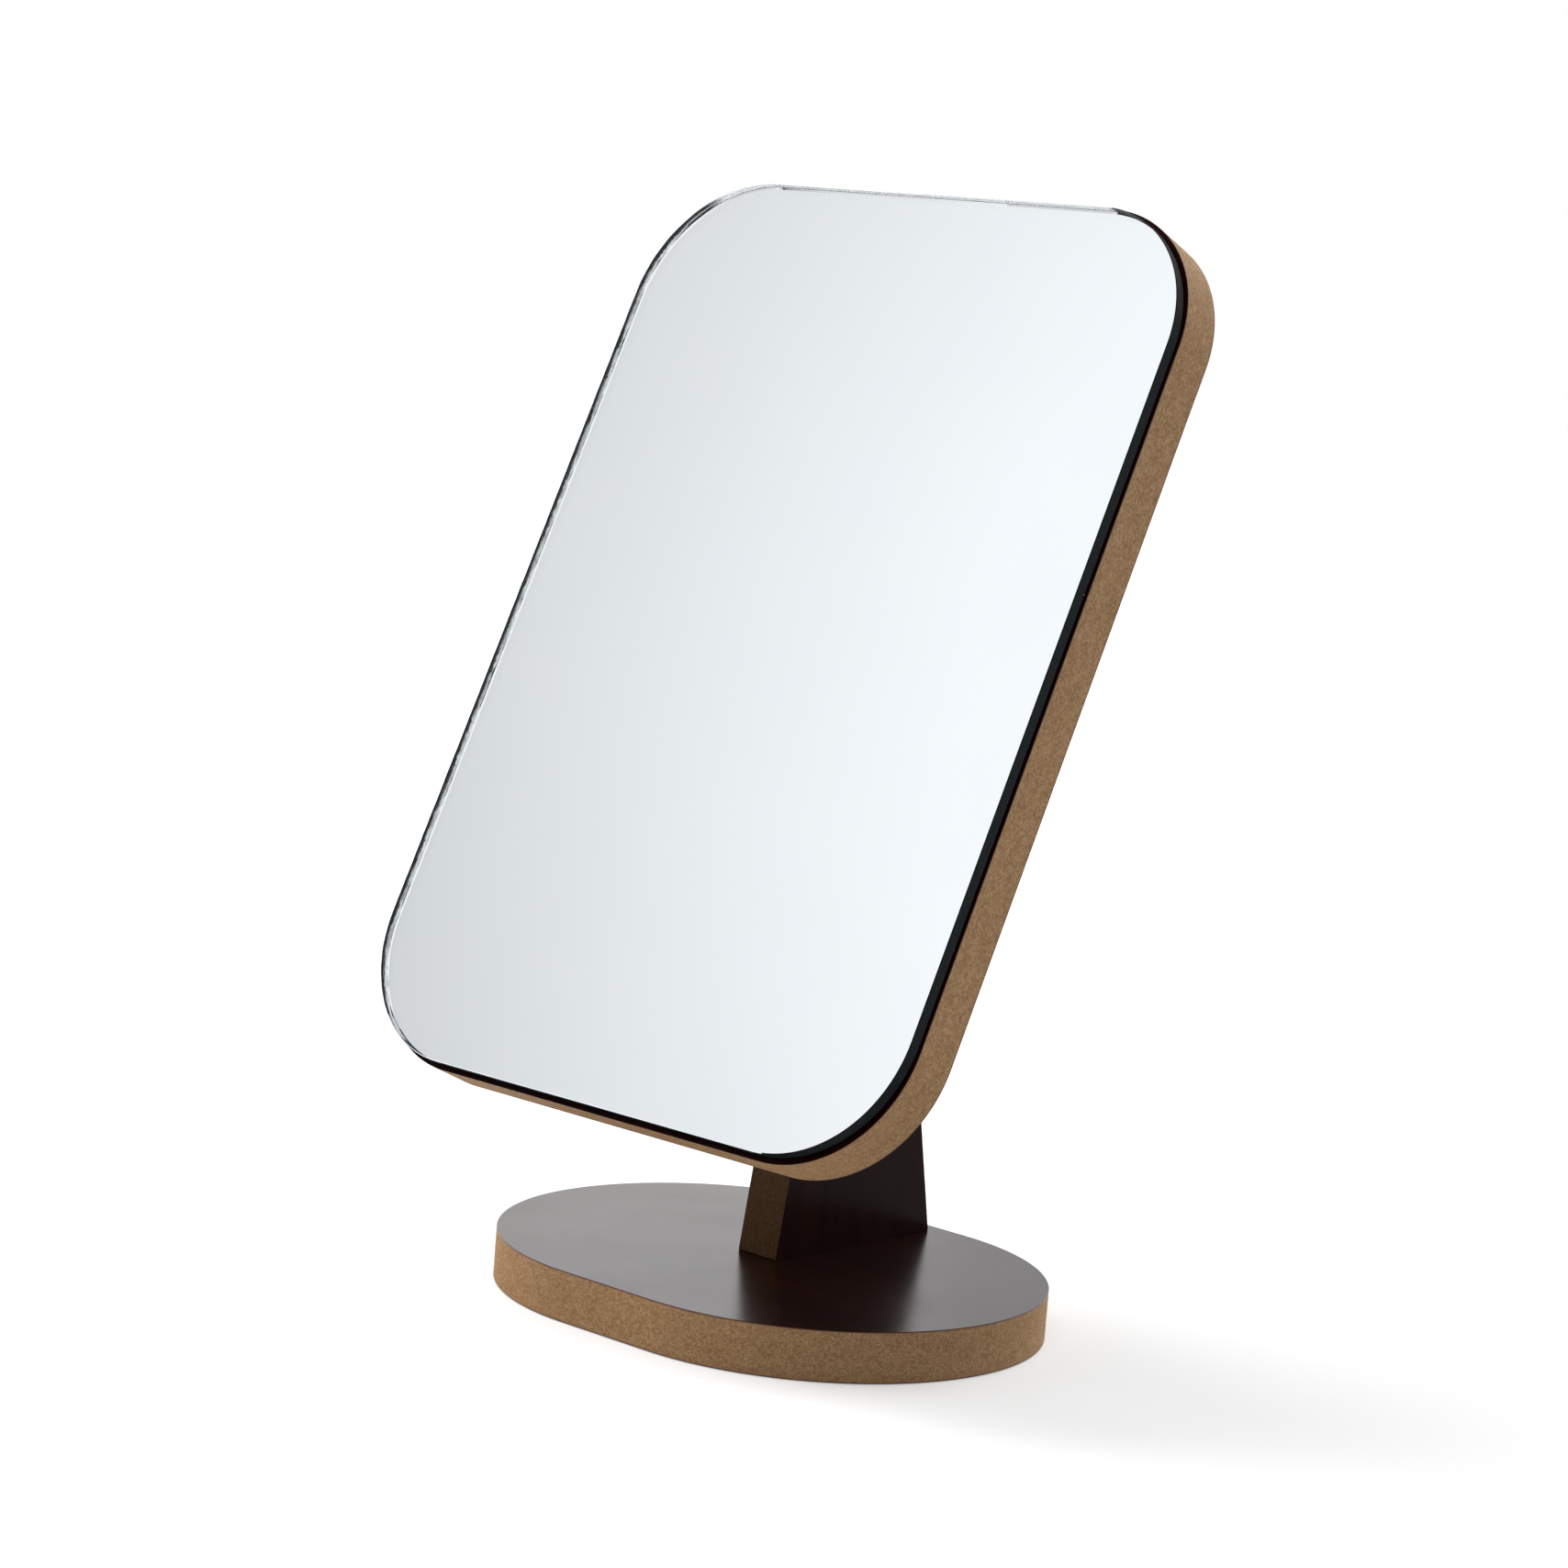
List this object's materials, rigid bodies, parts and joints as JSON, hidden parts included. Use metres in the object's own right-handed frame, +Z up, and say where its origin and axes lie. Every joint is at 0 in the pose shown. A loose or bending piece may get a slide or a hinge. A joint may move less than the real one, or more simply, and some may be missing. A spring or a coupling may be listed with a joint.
{
  "type": "table mirror",
  "caption": "Free-standing table mirror: rounded rectangular glass on a wooden backboard that tilts on a tapered stem over a flat oval base.",
  "frame": {"origin": "middle of the base's underside, on the surface that the mirror stands on", "axes": "+Z up, +X to the right of a person looking into the mirror, -Y towards that person"},
  "size_m": [0.1722, 0.1284, 0.2773],
  "materials": {
    "raw_mdf": "raw sawn and sanded fibreboard edge, matt",
    "wood_foil": "dark reddish wood-print foil, satin gloss",
    "clear_glass": "clear float glass with ground edges",
    "silvering": "silvered, painted on the back",
    "foam_tape": "black foam tape",
    "zinc_steel": "yellow zinc plated",
    "nickel_steel": "nickel plated",
    "black_fibre": "black vulcanised fibre"
  },
  "bodies": {
    "stand": {"base_core": "raw_mdf", "base_top_foil": "wood_foil", "base_bottom_foil": "wood_foil", "stem_core": "raw_mdf", "stem_left_foil": "wood_foil", "stem_right_foil": "wood_foil", "stem_screws": "zinc_steel", "friction_washers": "black_fibre"},
    "mirror": {"board_core": "raw_mdf", "board_front_foil": "wood_foil", "board_rear_foil": "wood_foil", "left_ear_core": "raw_mdf", "left_ear_inner_foil": "wood_foil", "left_ear_outer_foil": "wood_foil", "right_ear_core": "raw_mdf", "right_ear_inner_foil": "wood_foil", "right_ear_outer_foil": "wood_foil", "ear_screws": "zinc_steel", "mounting_tape": "foam_tape", "mirror_coating": "silvering", "mirror_glass": "clear_glass", "pivot_sleeve_nut": "nickel_steel", "pivot_bolt": "nickel_steel"}
  },
  "joints": [
    {"name": "mirror_tilt", "type": "hinge", "parent": "stand", "child": "mirror", "pos_m": [0, 0.02005, 0.1194], "axis": [1, 0, 0], "range_deg": [-65.8, 33.1]}
  ]
}
